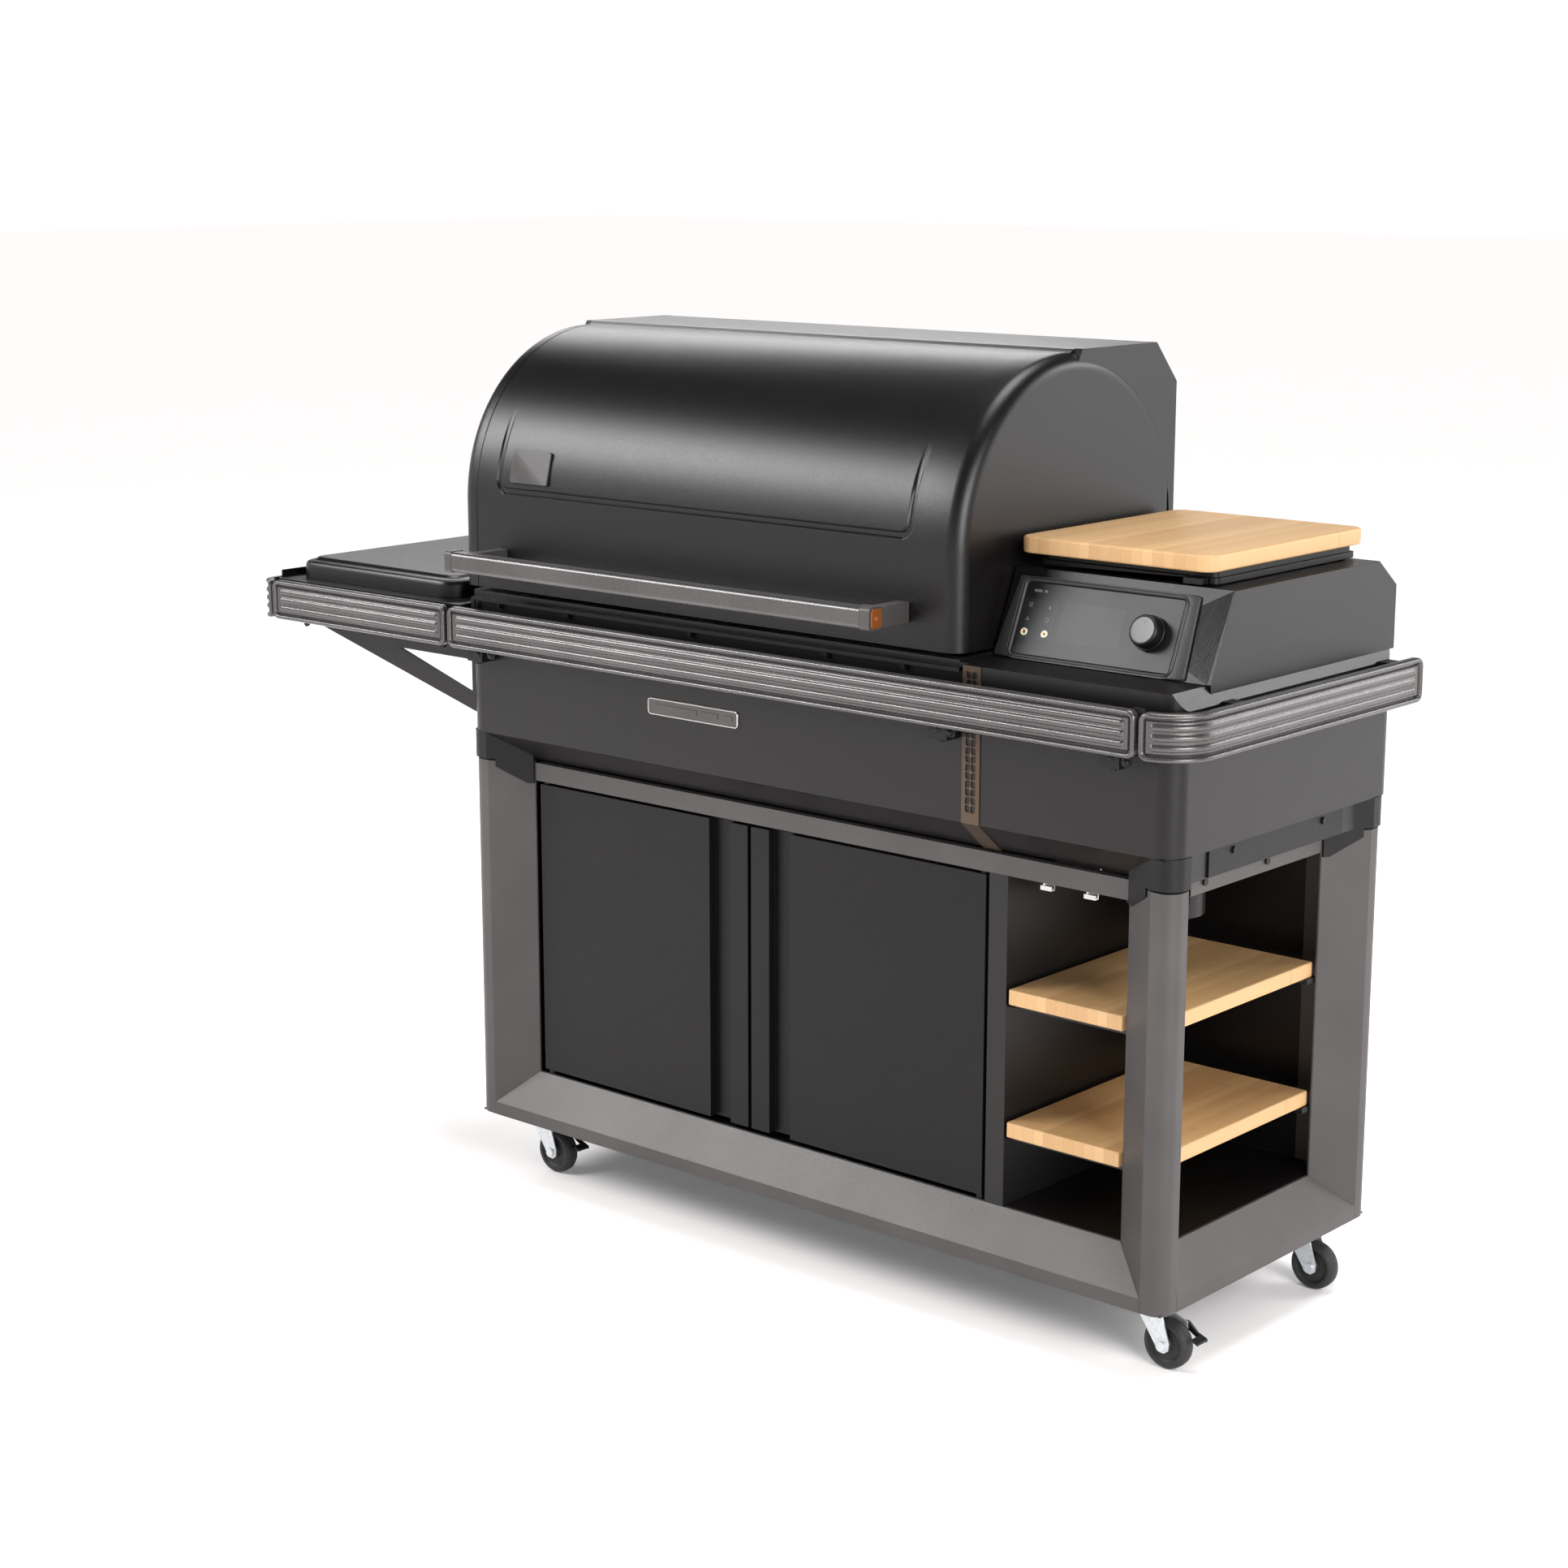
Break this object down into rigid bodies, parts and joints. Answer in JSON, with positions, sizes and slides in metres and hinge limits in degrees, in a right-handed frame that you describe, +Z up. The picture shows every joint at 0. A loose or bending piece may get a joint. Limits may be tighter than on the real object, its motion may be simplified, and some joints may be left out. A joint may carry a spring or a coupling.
{
  "type": "pellet smoker grill",
  "caption": "Wheeled pellet smoker grill: hinged barrel lid over grates, pellet hopper with control panel, covered side hob, door cabinet and open bamboo shelves.",
  "frame": {"origin": "middle of the footprint, at floor level", "axes": "+Z up, +X towards the hopper end, -Y is the front with the doors and handle"},
  "size_m": [1.7756, 0.6152, 1.319],
  "materials": {
    "charcoal_coat": "fine-textured satin powder coat",
    "graphite_coat": "satin powder coat",
    "rail_coat": "satin metallic coat",
    "black_plastic": "matte moulded",
    "gloss_black": "gloss",
    "bamboo": "oiled bamboo",
    "bronze_coat": "satin metallic bronze",
    "copper_cap": "satin metallic copper",
    "zinc_plate": "bright zinc plated",
    "stainless": "brushed",
    "black_rubber": "matte"
  },
  "bodies": {
    "frame": {"cart_posts": "graphite_coat", "base_rails": "graphite_coat", "top_rails": "graphite_coat", "corner_caps": "black_plastic", "cabinet_shell": "charcoal_coat", "bay_shelves": "bamboo", "shelf_supports": "charcoal_coat", "door_hinge_pins": "black_plastic", "caster_plates": "zinc_plate", "barrel_body": "charcoal_coat", "hopper_body": "charcoal_coat", "hopper_housing": "charcoal_coat", "vent_strip": "bronze_coat", "ledge_trim": "charcoal_coat", "front_badge": "stainless", "lid_hinge_frames": "graphite_coat", "front_rail": "rail_coat", "right_rail": "rail_coat", "shelf_rails": "rail_coat", "rail_brackets": "black_plastic", "side_shelf": "charcoal_coat", "shelf_brackets": "charcoal_coat", "cooktop": "gloss_black", "hopper_bin": "stainless", "control_panel": "gloss_black", "fire_pot": "stainless", "auger_drive": "stainless", "fan_housing": "charcoal_coat", "drip_tray": "stainless", "cooking_grates": "stainless", "tool_hooks": "stainless", "power_inlet": "black_plastic", "frame_bolts": "black_plastic"},
    "lid": {"lid_shell": "charcoal_coat", "lid_badge": "rail_coat", "handle_bar": "rail_coat", "handle_brackets": "graphite_coat", "handle_end_cap": "copper_cap", "lid_hinge_leaves": "charcoal_coat"},
    "door_left": {"door_left": "charcoal_coat"},
    "door_right": {"door_right": "charcoal_coat"},
    "caster_fl": {"caster_fork_fl": "zinc_plate"},
    "caster_fr": {"caster_fork_fr": "zinc_plate"},
    "caster_rl": {"caster_fork_rl": "zinc_plate"},
    "caster_rr": {"caster_fork_rr": "zinc_plate"},
    "wheel_fl": {"wheel_fl": "black_rubber"},
    "wheel_fr": {"wheel_fr": "black_rubber"},
    "wheel_rl": {"wheel_rl": "black_rubber"},
    "wheel_rr": {"wheel_rr": "black_rubber"},
    "brake_fl": {"brake_lever_fl": "black_plastic"},
    "brake_fr": {"brake_lever_fr": "black_plastic"},
    "hopper_lid": {"hopper_lid": "black_plastic"},
    "cutting_board": {"cutting_board": "bamboo"},
    "cooktop_cover": {"cooktop_cover": "charcoal_coat"},
    "knob_shaft": {"knob_shaft": "stainless"},
    "control_knob": {"control_knob": "black_plastic"},
    "auger": {"auger": "stainless"},
    "fan_rotor": {"fan_rotor": "stainless"},
    "grease_keg": {"grease_keg": "charcoal_coat"},
    "power_switch": {"power_switch": "gloss_black"}
  },
  "joints": [
    {"name": "lid_hinge", "type": "hinge", "parent": "frame", "child": "lid", "pos_m": [0, 0.2874, 0.94], "axis": [-1, 0, 0], "range_deg": [0, 65]},
    {"name": "door_left_hinge", "type": "hinge", "parent": "frame", "child": "door_left", "pos_m": [-0.325, -0.1806, 0.4], "axis": [0, 0, -1], "range_deg": [0, 100]},
    {"name": "door_right_hinge", "type": "hinge", "parent": "frame", "child": "door_right", "pos_m": [0.5139, -0.1806, 0.4], "axis": [0, 0, 1], "range_deg": [0, 100]},
    {"name": "caster_fl_swivel", "type": "hinge", "parent": "frame", "child": "caster_fl", "pos_m": [-0.3723, -0.1563, 0.085], "axis": [0, 0, 1], "continuous": true},
    {"name": "wheel_fl_spin", "type": "hinge", "parent": "caster_fl", "child": "wheel_fl", "pos_m": [-0.3423, -0.1563, 0.035], "axis": [0, 1, 0], "continuous": true},
    {"name": "caster_fr_swivel", "type": "hinge", "parent": "frame", "child": "caster_fr", "pos_m": [0.7815, -0.1563, 0.085], "axis": [0, 0, 1], "continuous": true},
    {"name": "wheel_fr_spin", "type": "hinge", "parent": "caster_fr", "child": "wheel_fr", "pos_m": [0.8115, -0.1563, 0.035], "axis": [0, 1, 0], "continuous": true},
    {"name": "caster_rl_swivel", "type": "hinge", "parent": "frame", "child": "caster_rl", "pos_m": [-0.3723, 0.2126, 0.085], "axis": [0, 0, 1], "continuous": true},
    {"name": "wheel_rl_spin", "type": "hinge", "parent": "caster_rl", "child": "wheel_rl", "pos_m": [-0.3423, 0.2126, 0.035], "axis": [0, 1, 0], "continuous": true},
    {"name": "caster_rr_swivel", "type": "hinge", "parent": "frame", "child": "caster_rr", "pos_m": [0.7815, 0.2126, 0.085], "axis": [0, 0, 1], "continuous": true},
    {"name": "wheel_rr_spin", "type": "hinge", "parent": "caster_rr", "child": "wheel_rr", "pos_m": [0.8115, 0.2126, 0.035], "axis": [0, 1, 0], "continuous": true},
    {"name": "brake_fl_lever", "type": "hinge", "parent": "caster_fl", "child": "brake_fl", "pos_m": [-0.3283, -0.1563, 0.06], "axis": [0, 1, 0], "range_deg": [0, 6]},
    {"name": "brake_fr_lever", "type": "hinge", "parent": "caster_fr", "child": "brake_fr", "pos_m": [0.8255, -0.1563, 0.06], "axis": [0, 1, 0], "range_deg": [0, 6]},
    {"name": "hopper_lid_hinge", "type": "hinge", "parent": "frame", "child": "hopper_lid", "pos_m": [0.67, 0.2674, 1.046], "axis": [-1, 0, 0], "range_deg": [0, 80]},
    {"name": "cutting_board_lift", "type": "slide", "parent": "hopper_lid", "child": "cutting_board", "axis": [0, 0, 1], "range_m": [0, 0.08]},
    {"name": "cooktop_cover_lift", "type": "slide", "parent": "frame", "child": "cooktop_cover", "axis": [0, 0, 1], "range_m": [0, 0.08]},
    {"name": "knob_press", "type": "slide", "parent": "frame", "child": "knob_shaft", "axis": [0, 0.9191, -0.3939], "range_m": [0, 0.0015], "stiffness_N_per_m": 900},
    {"name": "knob_turn", "type": "hinge", "parent": "knob_shaft", "child": "control_knob", "pos_m": [0.737, -0.13993, 0.97995], "axis": [0, -0.9191, 0.3939], "continuous": true},
    {"name": "auger_spin", "type": "hinge", "parent": "frame", "child": "auger", "pos_m": [0.43, 0.0314, 0.712], "axis": [1, 0, 0], "continuous": true},
    {"name": "fan_spin", "type": "hinge", "parent": "frame", "child": "fan_rotor", "pos_m": [0.57, 0.1814, 0.745], "axis": [1, 0, 0], "continuous": true},
    {"name": "grease_keg_slide", "type": "slide", "parent": "frame", "child": "grease_keg", "axis": [0, -1, 0], "range_m": [0, 0.09]},
    {"name": "power_rocker", "type": "hinge", "parent": "frame", "child": "power_switch", "pos_m": [0.799, 0.2984, 0.758], "axis": [1, 0, 0], "range_deg": [-10, 10]}
  ]
}
